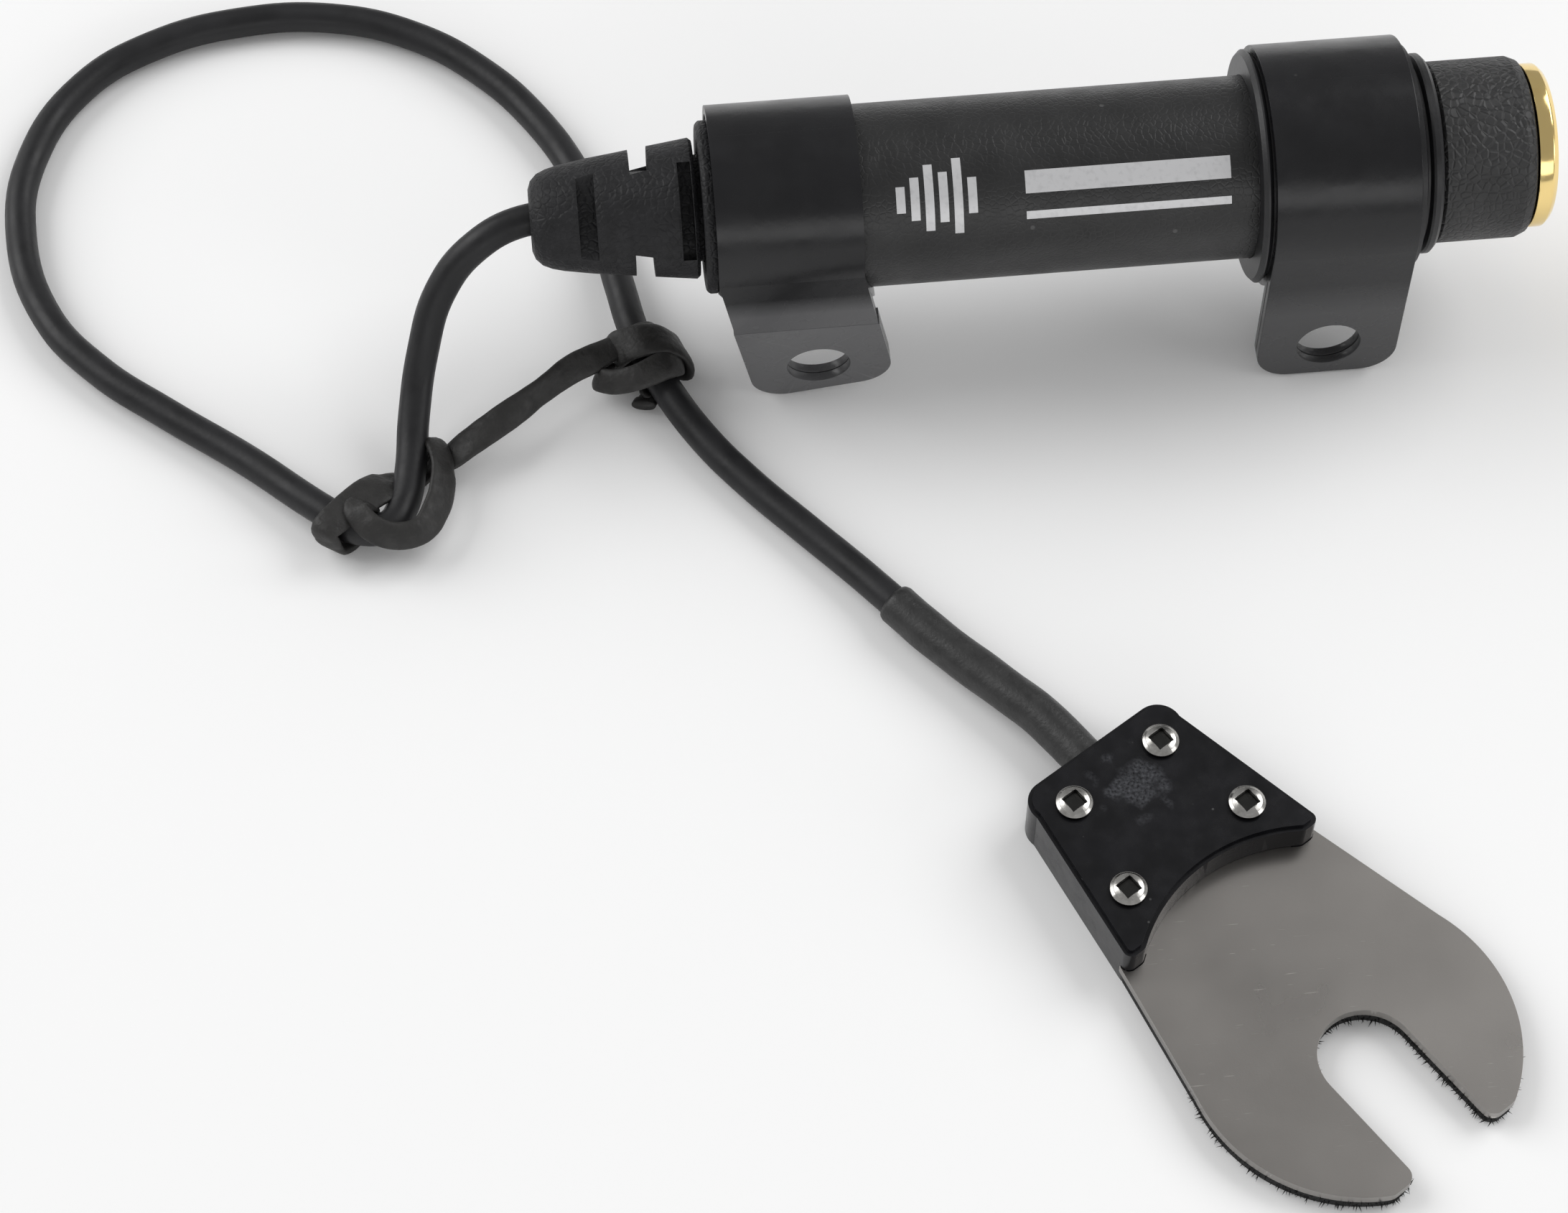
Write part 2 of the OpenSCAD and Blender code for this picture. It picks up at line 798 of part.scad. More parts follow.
module lace_knot_2() {
    color(soft_black) translate([0, barrel_y, 0]) {
        lace_wrap([-34.5, -3.3, 2.4], 113, lace_w);
        lace_wrap([-33.4, -6.2, 2.4], 113, lace_w - 1);
        translate([-34.8, -4.8, 4.7]) rotate([0, 0, 25]) cube([4.4, 3.4, 1.6], center = true);
    }
}

// ---- what is drawn ----

barrel_tube();
end_cap();
mouth_bushing();
jack_carrier();
tip_contact();
sleeve_contact();
tip_lug();
sleeve_lug();
boot();
boot_nut();
cord_clamp();
signal_wire();
shield_wire();
grommet();
left_clip();
right_clip();
housing_base();
housing_cover();
cover_screws();
fork_plate();
fibre_pad();
piezo_film();
foil_electrode();
connection_board();
cable_saddle();
signal_core();
shield_core();
cable();
shrink_sleeve();
lace_knot_1();
lace_span();
lace_knot_2();
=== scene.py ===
"""The forked bridge pickup: cable, lace, straps, barrel and sensor, with materials, light and camera."""
import bpy
import math
import random
from mathutils import Vector, Matrix, noise


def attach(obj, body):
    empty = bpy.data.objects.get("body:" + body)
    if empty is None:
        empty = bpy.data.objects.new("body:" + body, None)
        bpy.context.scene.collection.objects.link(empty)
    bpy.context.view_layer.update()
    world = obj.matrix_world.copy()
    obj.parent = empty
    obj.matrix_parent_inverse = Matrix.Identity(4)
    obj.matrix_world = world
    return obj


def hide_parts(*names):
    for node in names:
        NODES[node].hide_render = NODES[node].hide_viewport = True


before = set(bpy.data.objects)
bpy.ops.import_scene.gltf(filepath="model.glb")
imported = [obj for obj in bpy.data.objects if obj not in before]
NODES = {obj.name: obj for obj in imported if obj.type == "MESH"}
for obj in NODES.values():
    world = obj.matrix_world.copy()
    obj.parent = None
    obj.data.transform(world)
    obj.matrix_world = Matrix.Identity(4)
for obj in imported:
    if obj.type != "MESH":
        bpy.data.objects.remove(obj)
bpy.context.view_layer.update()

MM = 0.001
BODY = "unit"

# ---- camera ----

CAMERA_PLACE = Vector((-41.1, -166.9, 288.9)) * MM
CAMERA_TILT = 31.5       # degrees from straight down
CAMERA_TURN = -5.4       # degrees about the vertical
LENS = 92.3              # millimetres
SENSOR_WIDTH = 36        # millimetres

camera_data = bpy.data.cameras.new("camera")
camera_data.lens = LENS
camera_data.sensor_width = SENSOR_WIDTH
camera_data.clip_start = 0.01
camera_data.clip_end = 20
camera = bpy.data.objects.new("camera", camera_data)
camera.location = CAMERA_PLACE
camera.rotation_euler = (math.radians(CAMERA_TILT), 0, math.radians(CAMERA_TURN))
bpy.context.scene.collection.objects.link(camera)
bpy.context.scene.camera = camera

# ---- geometry helpers ----


def smooth_line(points, steps):
    """A smooth curve through every point, with that many pieces between each two."""
    last = len(points) - 1
    line = []
    for i in range(last):
        a = points[max(i - 1, 0)]
        b = points[i]
        c = points[i + 1]
        d = points[min(i + 2, last)]
        for step in range(steps):
            t = step / steps
            line.append(
                0.5 * (
                    2 * b
                    + (c - a) * t
                    + (2 * a - 5 * b + 4 * c - d) * t * t
                    + (3 * b - a - 3 * c + d) * t * t * t
                )
            )
    line.append(points[last].copy())
    return line


def direction(line, i):
    """The way a line runs at its point number i."""
    return (line[min(i + 1, len(line) - 1)] - line[max(i - 1, 0)]).normalized()


def new_piece(name, vertices, faces, material):
    """A mesh piece that rides on the jack and sensor's body."""
    mesh = bpy.data.meshes.new(name)
    mesh.from_pydata([tuple(v) for v in vertices], [], faces)
    mesh.update()
    mesh.shade_smooth()
    piece = bpy.data.objects.new(name, mesh)
    bpy.context.scene.collection.objects.link(piece)
    mesh.materials.append(material)
    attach(piece, BODY)
    return piece


def skin(rings):
    """Vertices and faces of a closed skin through rings of equally many points, with flat ends."""
    count = len(rings[0])
    vertices = [v for ring in rings for v in ring]
    faces = []
    for i in range(len(rings) - 1):
        for j in range(count):
            k = (j + 1) % count
            faces.append((i * count + j, i * count + k, (i + 1) * count + k, (i + 1) * count + j))
    faces.append(tuple(reversed(range(count))))
    faces.append(tuple((len(rings) - 1) * count + j for j in range(count)))
    return vertices, faces


# ---- the part's main sizes, in metres where MM is written and else in millimetres ----

CABLE_D = 2.75 * MM
SLEEVE_D = 3.6 * MM
BARREL_Y = 38.96
BARREL_Z = 17
NOSE_X = -43.15
TUBE_R = 7.75
SENSOR_AT = Vector((-1.25, BARREL_Y - 48.05, 0))
SENSOR_TURN = math.radians(-57)
FORK_U = 31.8            # the fork's centre, measured from the housing's rear edge
FORK_R = 13.3
SLOT_U = 33.7
SLOT_R = 4
TIP_U = 43.5
PAD_T = 1.2
COVER_TOP = 5


def on_sensor(u, k, z):
    """A place in metres: u along the sensor from its rear edge, k sideways, z up, in millimetres."""
    return (SENSOR_AT + Matrix.Rotation(SENSOR_TURN, 3, "Z") @ Vector((u, k, z))) * MM


# ---- materials ----


class Surface:
    """A Principled material whose detail is laid out in the part's own millimetres."""

    def __init__(self, name, colour, rough, metal=0.0, shine=0.5):
        self.material = bpy.data.materials.new(name)
        self.material.use_nodes = True
        self.tree = self.material.node_tree
        self.shader = self.tree.nodes["Principled BSDF"]
        self.shader.inputs["Base Color"].default_value = (*colour, 1)
        self.shader.inputs["Roughness"].default_value = rough
        self.shader.inputs["Metallic"].default_value = metal
        self.shader.inputs["Specular IOR Level"].default_value = shine
        self.colour = colour
        self.rough = rough
        self.normal = None
        place = self.tree.nodes.new("ShaderNodeTexCoord")
        scale = self.tree.nodes.new("ShaderNodeMapping")
        scale.inputs["Scale"].default_value = (1 / MM, 1 / MM, 1 / MM)
        self.link(place.outputs["Object"], scale.inputs["Vector"])
        self.place = scale.outputs["Vector"]

    def link(self, a, b):
        self.tree.links.new(a, b)

    def noise(self, size, detail=3.0, place=None):
        """A soft random pattern, 0 to 1, with grains of a given size in millimetres."""
        node = self.tree.nodes.new("ShaderNodeTexNoise")
        node.inputs["Scale"].default_value = 1 / size
        node.inputs["Detail"].default_value = detail
        self.link(place or self.place, node.inputs["Vector"])
        return node.outputs["Fac"]

    def cells(self, size):
        """The distance to the nearest edge of irregular cells of a given size in millimetres."""
        node = self.tree.nodes.new("ShaderNodeTexVoronoi")
        node.feature = "DISTANCE_TO_EDGE"
        node.inputs["Scale"].default_value = 1 / size
        self.link(self.place, node.inputs["Vector"])
        return node.outputs["Distance"]

    def remap(self, value, low, high, to_low, to_high):
        """Stretches the range low to high of a value over another range, and clamps it there."""
        node = self.tree.nodes.new("ShaderNodeMapRange")
        node.inputs["From Min"].default_value = low
        node.inputs["From Max"].default_value = high
        node.inputs["To Min"].default_value = to_low
        node.inputs["To Max"].default_value = to_high
        self.link(value, node.inputs["Value"])
        return node.outputs["Result"]

    def tint(self, value, other):
        """Mixes the base colour towards another where value is 1."""
        node = self.tree.nodes.new("ShaderNodeMix")
        node.data_type = "RGBA"
        base = self.shader.inputs["Base Color"]
        if base.is_linked:
            self.link(base.links[0].from_socket, node.inputs["A"])
        else:
            node.inputs["A"].default_value = base.default_value
        node.inputs["B"].default_value = (*other, 1)
        self.link(value, node.inputs["Factor"])
        self.link(node.outputs["Result"], base)

    def mottle(self, size, amount):
        """Soft patches of a given size in millimetres, paler by a share of the base colour."""
        lighter = tuple(c * (1 + amount) for c in self.colour)
        self.tint(self.remap(self.noise(size), 0.35, 0.65, 0, 1), lighter)

    def vary_rough(self, size, spread):
        """Patches of a given size in millimetres that are a little duller or glossier."""
        value = self.remap(self.noise(size), 0.3, 0.7, self.rough - spread, self.rough + spread)
        self.link(value, self.shader.inputs["Roughness"])

    def scratches(self, amount):
        """Few short fine pale lines, each long one way and thin the other."""
        for lean, size in ((35, 1.0), (-50, 1.4)):
            turned = self.tree.nodes.new("ShaderNodeMapping")
            turned.inputs["Rotation"].default_value = (0, 0, math.radians(lean))
            turned.inputs["Scale"].default_value = (0.45 * size, 9 * size, 1)
            self.link(self.place, turned.inputs["Vector"])
            line = self.noise(1.0, 1.0, turned.outputs["Vector"])
            patch = self.remap(self.noise(5.0 * size, 1.0), 0.56, 0.62, 0, amount)
            thin = self.remap(line, 0.72, 0.76, 0, 1)
            self.tint(self.times(thin, patch), tuple(min(1.0, c * 2.2) for c in self.colour))

    def specks(self, size, amount, colour):
        """Sparse small dots of another colour, such as dust and wear."""
        node = self.tree.nodes.new("ShaderNodeTexVoronoi")
        node.inputs["Scale"].default_value = 1 / size
        self.link(self.place, node.inputs["Vector"])
        dot = self.remap(node.outputs["Distance"], 0.05, 0.08, amount, 0)
        patch = self.remap(self.noise(size * 2.5, 1.0), 0.55, 0.6, 0, 1)
        self.tint(self.times(dot, patch), colour)

    def scuff(self, centre, reach, amount, colour):
        """A worn, pale, soft-edged spot of a given reach in millimetres round a place."""
        away = self.tree.nodes.new("ShaderNodeVectorMath")
        away.operation = "DISTANCE"
        away.inputs[1].default_value = centre
        self.link(self.place, away.inputs[0])
        wobble = self.tree.nodes.new("ShaderNodeMath")
        wobble.operation = "ADD"
        self.link(away.outputs["Value"], wobble.inputs[0])
        self.link(self.remap(self.noise(1.6, 1.0), 0.3, 0.7, -reach * 0.5, reach * 0.5), wobble.inputs[1])
        near = self.remap(wobble.outputs["Value"], reach * 0.3, reach, 1, 0)
        worn = self.remap(self.noise(0.25, 2.0), 0.3, 0.8, 0, amount)
        self.tint(self.times(near, worn), colour)

    def below(self, height, blend, colour):
        """Another colour on everything lower than a height in millimetres."""
        split = self.tree.nodes.new("ShaderNodeSeparateXYZ")
        self.link(self.place, split.inputs["Vector"])
        self.tint(self.remap(split.outputs["Z"], height, height + blend, 1, 0), colour)

    def times(self, a, b):
        node = self.tree.nodes.new("ShaderNodeMath")
        node.operation = "MULTIPLY"
        self.link(a, node.inputs[0])
        self.link(b, node.inputs[1])
        return node.outputs["Value"]

    def seam(self, axis, at, half_width, depth):
        """A fine line across the part where one coordinate has a given value in millimetres."""
        split = self.tree.nodes.new("ShaderNodeSeparateXYZ")
        self.link(self.place, split.inputs["Vector"])
        away = self.tree.nodes.new("ShaderNodeMath")
        away.operation = "COMPARE"
        away.inputs[1].default_value = at
        away.inputs[2].default_value = half_width
        self.link(split.outputs[axis], away.inputs[0])
        self.bump(away.outputs["Value"], -depth)

    def bump(self, value, height):
        """Raises the surface by up to height millimetres where value is 1."""
        node = self.tree.nodes.new("ShaderNodeBump")
        node.inputs["Distance"].default_value = height * MM
        node.inputs["Strength"].default_value = 1
        self.link(value, node.inputs["Height"])
        if self.normal is not None:
            self.link(self.normal, node.inputs["Normal"])
        self.normal = node.outputs["Normal"]
        self.link(self.normal, self.shader.inputs["Normal"])


def near_black(shade):
    """A grey with a trace of blue."""
    return (shade, shade, shade * 1.03)


def painted_black(name, rough, shade):
    surface = Surface(name, near_black(shade), rough)
    surface.mottle(4.0, 0.5)
    surface.vary_rough(2.5, 0.06)
    surface.bump(surface.noise(0.5, 2), 0.012)
    return surface


# Each strap's tab is painted paler than its band, a painted reflection of the pale table in its upright
# face:
# the side, the paler part's top and the softness of its edge in millimetres, and its shade.
STRAP_TAB_REFLECTIONS = (("left", 13, 2, 0.105), ("right", 9, 4, 0.053))


def make_materials():
    """Every material by a plain name, with the sizes of its pattern in millimetres."""
    made = {}

    tube = painted_black("barrel_paint", rough=0.4, shade=0.01)
    tube.bump(tube.remap(tube.cells(0.55), 0.0, 0.15, 0, 1), 0.014)
    tube.specks(3.0, 0.5, (0.12, 0.12, 0.12))
    made["tube"] = tube

    cap = painted_black("cap_grain", rough=0.5, shade=0.013)
    cap.bump(cap.remap(cap.cells(0.65), 0.0, 0.2, 0, 1), 0.07)
    made["cap"] = cap

    for side, reflection_top, softness, shade in STRAP_TAB_REFLECTIONS:
        strap = Surface(side + "_strap_vinyl", (0.006, 0.006, 0.007), 0.27, shine=0.4)
        strap.mottle(6.0, 0.4)
        strap.vary_rough(3.0, 0.05)
        # painted reflection: the tab is paler below this height, standing in for the table's light
        # reflected in it
        strap.below(reflection_top, softness, near_black(shade))
        strap.scratches(0.05)
        strap.specks(4.0, 0.5, (0.12, 0.12, 0.12))
        strap.bump(strap.noise(1.4, 4), 0.02)
        strap.seam("Y", BARREL_Y + 0.8, 0.06, 0.08)
        made[side + "_strap"] = strap

    boot = Surface("boot_rubber", (0.009, 0.009, 0.01), 0.55, shine=0.3)
    boot.mottle(1.5, 0.6)
    boot.vary_rough(1.0, 0.08)
    boot.bump(boot.remap(boot.cells(0.6), 0.0, 0.2, 0, 1), 0.04)
    boot.bump(boot.noise(0.35, 4), 0.05)
    boot.bump(boot.noise(1.8, 3), 0.06)
    made["boot"] = boot

    grommet = Surface("grommet_rubber", (0.007, 0.007, 0.008), 0.4)
    grommet.mottle(2.0, 0.5)
    grommet.bump(grommet.noise(0.4, 3), 0.02)
    made["grommet"] = grommet

    gold = Surface("gold_plate", (0.92, 0.7, 0.3), 0.13, 1.0)
    gold.tint(gold.remap(gold.noise(1.6), 0.5, 0.75, 0, 0.3), (0.85, 0.55, 0.2))
    gold.vary_rough(0.8, 0.04)
    gold.bump(gold.noise(0.9, 2), 0.004)
    made["gold"] = gold

    nickel = Surface("satin_nickel", (0.312, 0.297, 0.282), 0.3, 1.0)
    nickel.mottle(14.0, 0.1)
    nickel.vary_rough(9.0, 0.04)
    nickel.scratches(0.5)
    nickel.bump(nickel.noise(0.12, 2), 0.003)
    made["nickel"] = nickel

    housing = Surface("housing_gloss", (0.004, 0.004, 0.005), 0.24, shine=0.32)
    housing.mottle(3.0, 0.8)
    housing.vary_rough(1.5, 0.06)
    housing.specks(1.6, 0.6, (0.1, 0.1, 0.1))
    housing.scuff(on_sensor(5.2, 0.3, COVER_TOP) / MM, 3, 0.25, (0.3, 0.31, 0.34))
    housing.bump(housing.noise(0.7, 3), 0.01)
    made["housing"] = housing

    screw = Surface("screw_steel", (0.5, 0.49, 0.47), 0.22, 1.0)
    screw.tint(screw.remap(screw.noise(0.5), 0.45, 0.7, 0, 0.4), (0.25, 0.24, 0.22))
    # painted shade: the screws are darker below just above the cover's top, where they sit down in their
    # recesses
    screw.below(COVER_TOP + 0.3, 0.06, (0.05, 0.05, 0.048))
    screw.vary_rough(0.6, 0.06)
    screw.bump(screw.noise(0.4, 2), 0.005)
    made["screw"] = screw

    jacket = Surface("cable_jacket", (0.009, 0.009, 0.01), 0.46, shine=0.35)
    jacket.mottle(4.0, 0.5)
    jacket.vary_rough(2.0, 0.08)
    jacket.bump(jacket.noise(0.5, 3), 0.02)
    made["jacket"] = jacket

    sleeve = Surface("shrunk_sleeve", (0.015, 0.015, 0.015), 0.45)
    sleeve.mottle(1.2, 0.6)
    sleeve.vary_rough(1.0, 0.08)
    sleeve.bump(sleeve.noise(0.3, 4), 0.04)
    made["sleeve"] = sleeve

    lace = Surface("lace_leather", (0.01, 0.0095, 0.009), 0.55)
    lace.mottle(1.0, 0.7)
    lace.vary_rough(0.8, 0.08)
    lace.bump(lace.noise(0.5, 4), 0.08)
    made["lace"] = lace

    pad = Surface("pad_fibre", (0.008, 0.008, 0.008), 0.9)
    pad.mottle(0.4, 1.2)
    pad.bump(pad.noise(0.2, 4), 0.15)
    made["pad"] = pad

    silver = Surface("silver_print", (0.62, 0.62, 0.63), 0.4, 0.35)
    silver.tint(silver.remap(silver.noise(0.5), 0.5, 0.75, 0, 0.4), (0.4, 0.4, 0.41))
    silver.bump(silver.noise(0.2, 2), 0.004)
    made["silver"] = silver

    plastic = Surface("natural_plastic", (0.62, 0.6, 0.54), 0.5)
    plastic.mottle(2.0, 0.1)
    plastic.bump(plastic.noise(0.6, 2), 0.01)
    made["plastic"] = plastic

    copper = Surface("copper", (0.72, 0.36, 0.2), 0.3, 1.0)
    copper.mottle(0.8, 0.2)
    copper.bump(copper.noise(0.2, 2), 0.004)
    made["copper"] = copper

    red = Surface("red_insulation", (0.4, 0.02, 0.015), 0.4)
    red.mottle(1.0, 0.2)
    red.bump(red.noise(0.4, 2), 0.006)
    made["red"] = red

    board = Surface("board_green", (0.02, 0.12, 0.05), 0.4)
    board.mottle(0.8, 0.4)
    board.bump(board.noise(0.3, 2), 0.006)
    made["board"] = board

    return {key: surface.material for key, surface in made.items()}


MATERIALS = make_materials()

NODE_MATERIALS = {
    "barrel_tube": "tube",
    "end_cap": "cap",
    "mouth_bushing": "gold",
    "jack_carrier": "plastic",
    "tip_contact": "nickel",
    "sleeve_contact": "nickel",
    "tip_lug": "nickel",
    "sleeve_lug": "nickel",
    "boot": "boot",
    "boot_nut": "boot",
    "cord_clamp": "plastic",
    "signal_wire": "red",
    "shield_wire": "copper",
    "grommet": "grommet",
    "left_clip": "left_strap",
    "right_clip": "right_strap",
    "housing_base": "housing",
    "housing_cover": "housing",
    "cover_screws": "screw",
    "fork_plate": "nickel",
    "fibre_pad": "pad",
    "piezo_film": "plastic",
    "foil_electrode": "copper",
    "connection_board": "board",
    "cable_saddle": "nickel",
    "signal_core": "red",
    "shield_core": "copper",
    "cable": "jacket",
    "shrink_sleeve": "sleeve",
    "lace_knot_1": "lace",
    "lace_span": "lace",
    "lace_knot_2": "lace",
}

for node, key in NODE_MATERIALS.items():
    mesh = NODES[node].data
    mesh.materials.clear()
    mesh.materials.append(MATERIALS[key])

# Rounded edges, in millimetres, that catch the light.
SOFT_EDGES = {
    "left_clip": 0.1,
    "right_clip": 0.1,
    "housing_base": 0.12,
    "housing_cover": 0.12,
    "fork_plate": 0.16,
    "mouth_bushing": 0.1,
    "boot": 0.12,
    "boot_nut": 0.1,
}

for node, width in SOFT_EDGES.items():
    weld = NODES[node].modifiers.new("weld", "WELD")
    weld.merge_threshold = 0.002 * MM
    bevel = NODES[node].modifiers.new("soft_edges", "BEVEL")
    bevel.width = width * MM
    bevel.segments = 2
    bevel.limit_method = "ANGLE"
    bevel.angle_limit = math.radians(32)
    bevel.harden_normals = False

# The clips' flat necks run into their round bands: large faces keep their own flat shading.
for node in ("left_clip", "right_clip"):
    flats = NODES[node].modifiers.new("flat_faces", "WEIGHTED_NORMAL")
    flats.keep_sharp = True
    flats.weight = 100

# ---- cable ----

# millimetres; the barrel's axis is at y = 0 and the table at z = 0
CABLE_ROUTE = [
    (NOSE_X + 6, 0, BARREL_Z),
    (NOSE_X - 0.6, 0, BARREL_Z),
    (-47.8, -1.3, 15.8),
    (-51.2, -3.1, 12.2),
    (-53.2, -6.2, 7.8),
    (-54.4, -10.4, 4.4),
    (-55, -14.6, 2.7),
    (-55.8, -18, 2.4),
    (-57.2, -20, 2.4),
    (-59.8, -20, 2.4),
    (-62.7, -17.7, 2.3),
    (-69, -11.6, 1.6),
    (-75.9, -5.9, 1.4),
    (-81.6, -0.9, 1.4),
    (-86, 5.1, 1.4),
    (-88.4, 14.5, 1.4),
    (-87.4, 23, 1.4),
    (-82.8, 30.8, 1.4),
    (-76.4, 35, 1.4),
    (-68.4, 37, 1.4),
    (-60, 36.7, 1.4),
    (-52.6, 33.9, 1.4),
    (-46.4, 28.9, 1.4),
    (-42.1, 23.3, 1.4),
    (-38.8, 16.6, 1.4),
    (-36.8, 9.5, 1.6),
    (-35.8, 3, 2.2),
    (-34.8, -2.4, 2.4),
    (-32.7, -7.9, 2.3),
    (-29.8, -13, 1.6),
    (-26.3, -17.8, 1.4),
    (-22, -22.9, 1.4),
    (-18, -27.7, 1.6),
    (-15.3, -31.2, 1.85),
]
SLEEVE_ROUTE = [
    (-15.3, -31.2, 1.85),
    (-11.8, -35.5, 1.9),
    (-8, -39.7, 2.1),
    (-4.6, -43.5, 2.4),
    (-2.2, -47, 2.5),
    (-0.6, -49.5, 2.5),
]


def on_table(points):
    """Route points in metres in the part's own frame."""
    return [Vector((x, y + BARREL_Y, z)) * MM for x, y, z in points]


whole_route = on_table(CABLE_ROUTE + SLEEVE_ROUTE[1:])
cable_line = smooth_line(whole_route, 8)


def make_cable():
    """The cable as one smooth curve from inside the boot to inside the sensor housing."""
    curve = bpy.data.curves.new("cable_jacketed", "CURVE")
    curve.dimensions = "3D"
    curve.bevel_depth = CABLE_D / 2
    curve.bevel_resolution = 6
    curve.use_fill_caps = True
    spline = curve.splines.new("BEZIER")
    spline.resolution_u = 8
    spline.bezier_points.add(len(whole_route) - 1)
    for point, place in zip(spline.bezier_points, whole_route):
        point.co = place
        point.handle_left_type = "AUTO"
        point.handle_right_type = "AUTO"
    cable = bpy.data.objects.new("cable_jacketed", curve)
    bpy.context.scene.collection.objects.link(cable)
    curve.materials.append(MATERIALS["jacket"])
    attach(cable, BODY)
    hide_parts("cable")
    return cable


SLEEVE_UNEVEN = 0.05     # millimetres
SLEEVE_CUT = 0.12        # how much the cut end is thinner


def make_sleeve():
    """The shrunk sleeve over the cable's last stretch, slightly uneven, with a softened cut end."""
    line = smooth_line(on_table(SLEEVE_ROUTE), 10)
    sides = 32
    rings = []
    for i, centre in enumerate(line):
        along = direction(line, i)
        side = Vector((0, 0, 1)).cross(along).normalized()
        up = along.cross(side)
        ring = []
        for j in range(sides):
            turn = 2 * math.pi * j / sides
            out = math.cos(turn) * side + math.sin(turn) * up
            uneven = noise.noise((centre + out * 0.002) * 350) * SLEEVE_UNEVEN * MM
            radius = SLEEVE_D / 2 + uneven
            if i == 0:
                radius -= SLEEVE_CUT * MM
            ring.append(centre + out * radius)
        rings.append(ring)
    vertices, faces = skin(rings)
    sleeve = new_piece("sleeve_shrunk", vertices, faces, MATERIALS["sleeve"])
    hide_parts("shrink_sleeve")
    return sleeve


cable_piece = make_cable()
sleeve_piece = make_sleeve()

# ---- lace ----

LACE_T = 0.8
LACE_FLOOR = 0.5         # the lowest the middle of the lace goes, in millimetres
LACE_UNEVEN = 0.15
TABLE_GAP = 0.03         # the lowest any point of the lace goes
WRAP_STEP = 36           # degrees between the stations of a wrap

# The lace as stations: a place in millimetres, with the barrel's axis at y = 0, the way its flat
# face looks, and its width there.
COLLAR = [
    ((-54, -12.6, 1.6), (-0.3, 0.2, 1), 1.8),
    ((-53, -12.2, 3.0), (0.5, 0.2, 0.8), 2.2),
    ((-52.3, -14.2, 3.6), (0.7, 0, 0.7), 2.5),
    ((-52.3, -17, 3.6), (0.7, -0.1, 0.7), 2.6),
    ((-53, -19.3, 3.4), (0.5, -0.5, 0.7), 2.6),
    ((-54.3, -21.3, 3.4), (0.2, -0.7, 0.7), 2.4),
    ((-56.6, -21.8, 3.6), (0, -0.7, 0.8), 2.4),
    ((-58.6, -21, 4.1), (-0.3, -0.5, 0.8), 2.4),
    ((-59.7, -19.3, 4.4), (-0.2, -0.1, 1), 2.2),
]
BEHIND_LEG = [
    ((-58.2, -16.9, 3.3), (0.1, 0.2, 1), 3.6),
    ((-56.5, -15.5, 1.8), (0.1, 0.2, 1), 3.4),
    ((-55, -14.4, 0.7), (0, 0, 1), 2.4),
    ((-53.6, -13.6, 1), (0, 0.1, 1), 2.4),
]
SPAN = [
    ((-51.8, -13.4, 1.9), (0, 0.2, 1), 2.6),
    ((-49.8, -12.4, 2.8), (-0.2, -0.1, 1), 2.7),
    ((-47.6, -11.2, 3.4), (-0.1, -0.4, 0.9), 2.6),
    ((-45.2, -9.6, 3.6), (0.2, -0.7, 0.7), 2.5),
    ((-43.1, -8, 3.6), (0.3, -0.9, 0.6), 2.4),
    ((-40.8, -6.4, 3.8), (0.1, -0.6, 0.8), 2.5),
    ((-38.8, -5.6, 4.1), (0, -0.3, 1), 2.6),
]
LEFT_LEG = ((-60.4, -19.6, 2.4), 145)       # a place on the cable and its heading in degrees
RIGHT_LEG = ((-34.5, -3.3, 2.4), -69)
CROSSING = [
    ((-37.4, -5.3, 1.6), (-0.8, 0.3, 0.4), 2.6),
    ((-38.4, -6.8, 2.8), (-0.8, -0.3, 0.6), 2.2),
    ((-37, -8, 3.8), (-0.3, -0.7, 0.8), 2.2),
    ((-35, -8.2, 4.6), (0, -0.5, 1), 2.3),
    ((-32.8, -7.4, 4.8), (0.2, -0.3, 1), 2.6),
    ((-31.4, -6.4, 3.8), (0.8, 0, 0.5), 2.4),
]
TAIL = [
    ((-34.3, -7.9, 0.9), (-0.4, -0.3, 1), 2.2),
    ((-34.7, -8.9, 1.2), (-0.4, -0.3, 1), 2.2),
]


def wrap(leg, radius, turn_from, turn_to, slide_from, slide_to, wide):
    """Stations round the cable: 0 degrees is its left side, 90 its top and 180 its right."""
    place, heading = leg
    centre = Vector(place)
    ahead = Vector((math.cos(math.radians(heading)), math.sin(math.radians(heading)), 0))
    left = Vector((-ahead.y, ahead.x, 0)) if heading > 0 else Vector((ahead.y, -ahead.x, 0))
    count = max(3, round(abs(turn_to - turn_from) / WRAP_STEP))
    stations = []
    for i in range(count + 1):
        share = i / count
        turn = math.radians(turn_from + (turn_to - turn_from) * share)
        out = math.cos(turn) * left + Vector((0, 0, math.sin(turn)))
        slide = slide_from + (slide_to - slide_from) * share
        point = centre + out * radius + ahead * slide
        point.z = max(point.z, LACE_FLOOR)
        stations.append((tuple(point), tuple(out), wide))
    return stations


LACE_STATIONS = (
    COLLAR
    + wrap(LEFT_LEG, 2.2, 150, 400, -0.4, 1, 2.6)
    + BEHIND_LEG
    + SPAN
    + wrap(RIGHT_LEG, 1.9, 50, 330, 0, 1, 2.2)
    + CROSSING
    + wrap(RIGHT_LEG, 2, 200, 340, 3, 0.2, 1.8)
    + wrap(RIGHT_LEG, 2.8, 20, 190, 0.4, 3.2, 3.3)
    + wrap(RIGHT_LEG, 1.9, 220, 320, 3, 4, 1.6)
    + TAIL
)


